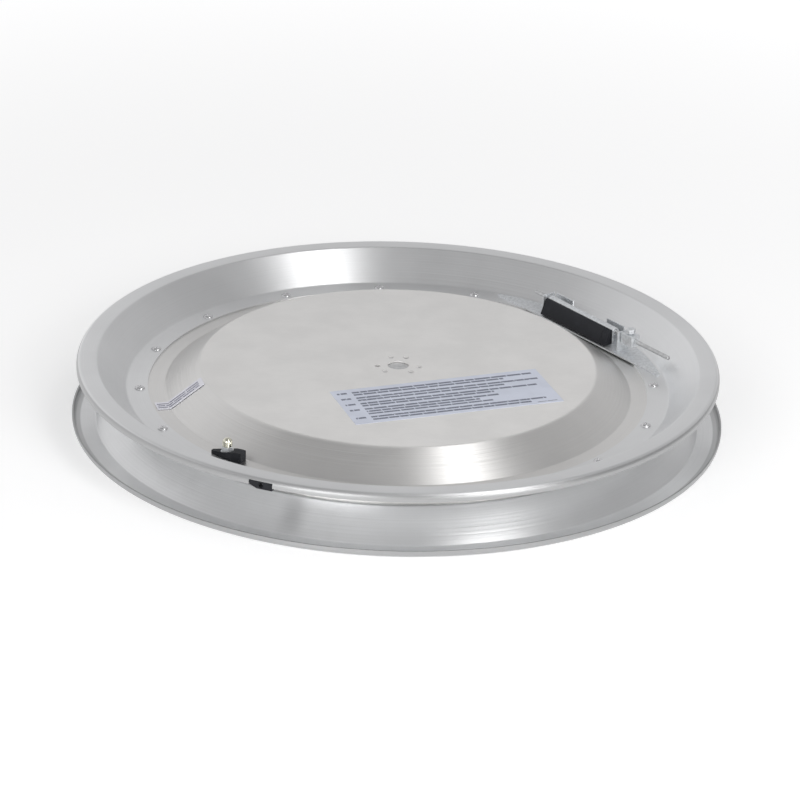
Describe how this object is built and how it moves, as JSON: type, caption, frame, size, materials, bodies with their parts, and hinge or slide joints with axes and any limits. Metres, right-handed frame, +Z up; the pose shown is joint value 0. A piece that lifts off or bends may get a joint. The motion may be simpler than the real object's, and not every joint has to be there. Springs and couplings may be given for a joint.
{
  "type": "spring-return reel drum",
  "caption": "Spun aluminium reel drum: back-to-back dished flanges form a V groove, domed covers enclose a flat power spring on a turning arbor, with a rope clamp and a rubber-faced jaw.",
  "frame": {"origin": "centre of the flat face of the lower lip, which the drum lies on", "axes": "+Z up along the drum's axis, out of the side with the labels; the rope clamp is on the -Y side and the jaw bracket towards +X +Y"},
  "size_m": [0.608, 0.608, 0.06],
  "materials": {
    "spun_aluminium": "spun, fine concentric lines",
    "cover_aluminium": "satin plate, spun cone",
    "rivet_aluminium": "bright",
    "zinc_plate": "zinc plated",
    "yellow_zinc": "yellow passivated zinc",
    "black_rubber": "matt",
    "spring_steel": "oiled blue-grey",
    "machined_steel": "machined",
    "bearing_bronze": "sintered",
    "label_film": "satin film with plain bars",
    "label_paper": "matt film with plain bars"
  },
  "bodies": {
    "drum": {"caution_label": "label_film", "clamp_bracket": "zinc_plate", "jaw_rod": "machined_steel", "lower_bush": "bearing_bronze", "lower_flange": "spun_aluminium", "lower_hub_plate": "machined_steel", "lower_spring_cover": "cover_aluminium", "power_spring": "spring_steel", "rating_label": "label_paper", "rivet_01": "rivet_aluminium", "rivet_02": "rivet_aluminium", "rivet_03": "rivet_aluminium", "rivet_04": "rivet_aluminium", "rivet_05": "rivet_aluminium", "rivet_06": "rivet_aluminium", "rivet_07": "rivet_aluminium", "rivet_08": "rivet_aluminium", "rivet_09": "rivet_aluminium", "rivet_10": "rivet_aluminium", "rivet_11": "rivet_aluminium", "rivet_12": "rivet_aluminium", "rivet_13": "rivet_aluminium", "rivet_14": "rivet_aluminium", "rivet_15": "rivet_aluminium", "rivet_16": "rivet_aluminium", "rod_collar": "zinc_plate", "rod_collar_screw": "zinc_plate", "rope_clamp_cap_nut": "yellow_zinc", "rope_clamp_nut": "zinc_plate", "rope_clamp_stud": "zinc_plate", "rope_clamp_washer": "zinc_plate", "rope_clamp_wedge": "black_rubber", "rope_grommet": "black_rubber", "spring_anchor_pin": "machined_steel", "upper_bush": "bearing_bronze", "upper_flange": "spun_aluminium", "upper_hub_plate": "machined_steel", "upper_spring_cover": "cover_aluminium"},
    "arbor": {"arbor": "machined_steel"},
    "jaw": {"jaw_leaf": "zinc_plate", "jaw_pad": "black_rubber"}
  },
  "joints": [
    {"name": "arbor_turn", "type": "hinge", "parent": "drum", "child": "arbor", "pos_m": [0, 0, 0.03], "axis": [0, 0, 1], "range_deg": [0, 4320], "stiffness_Nm_per_rad": 0.13, "deforming": ["power_spring"]},
    {"name": "jaw_swing", "type": "hinge", "parent": "drum", "child": "jaw", "pos_m": [0.18088, 0.14352, 0.0485], "axis": [-0.6216, 0.7834, 0], "range_deg": [0, 60]}
  ]
}
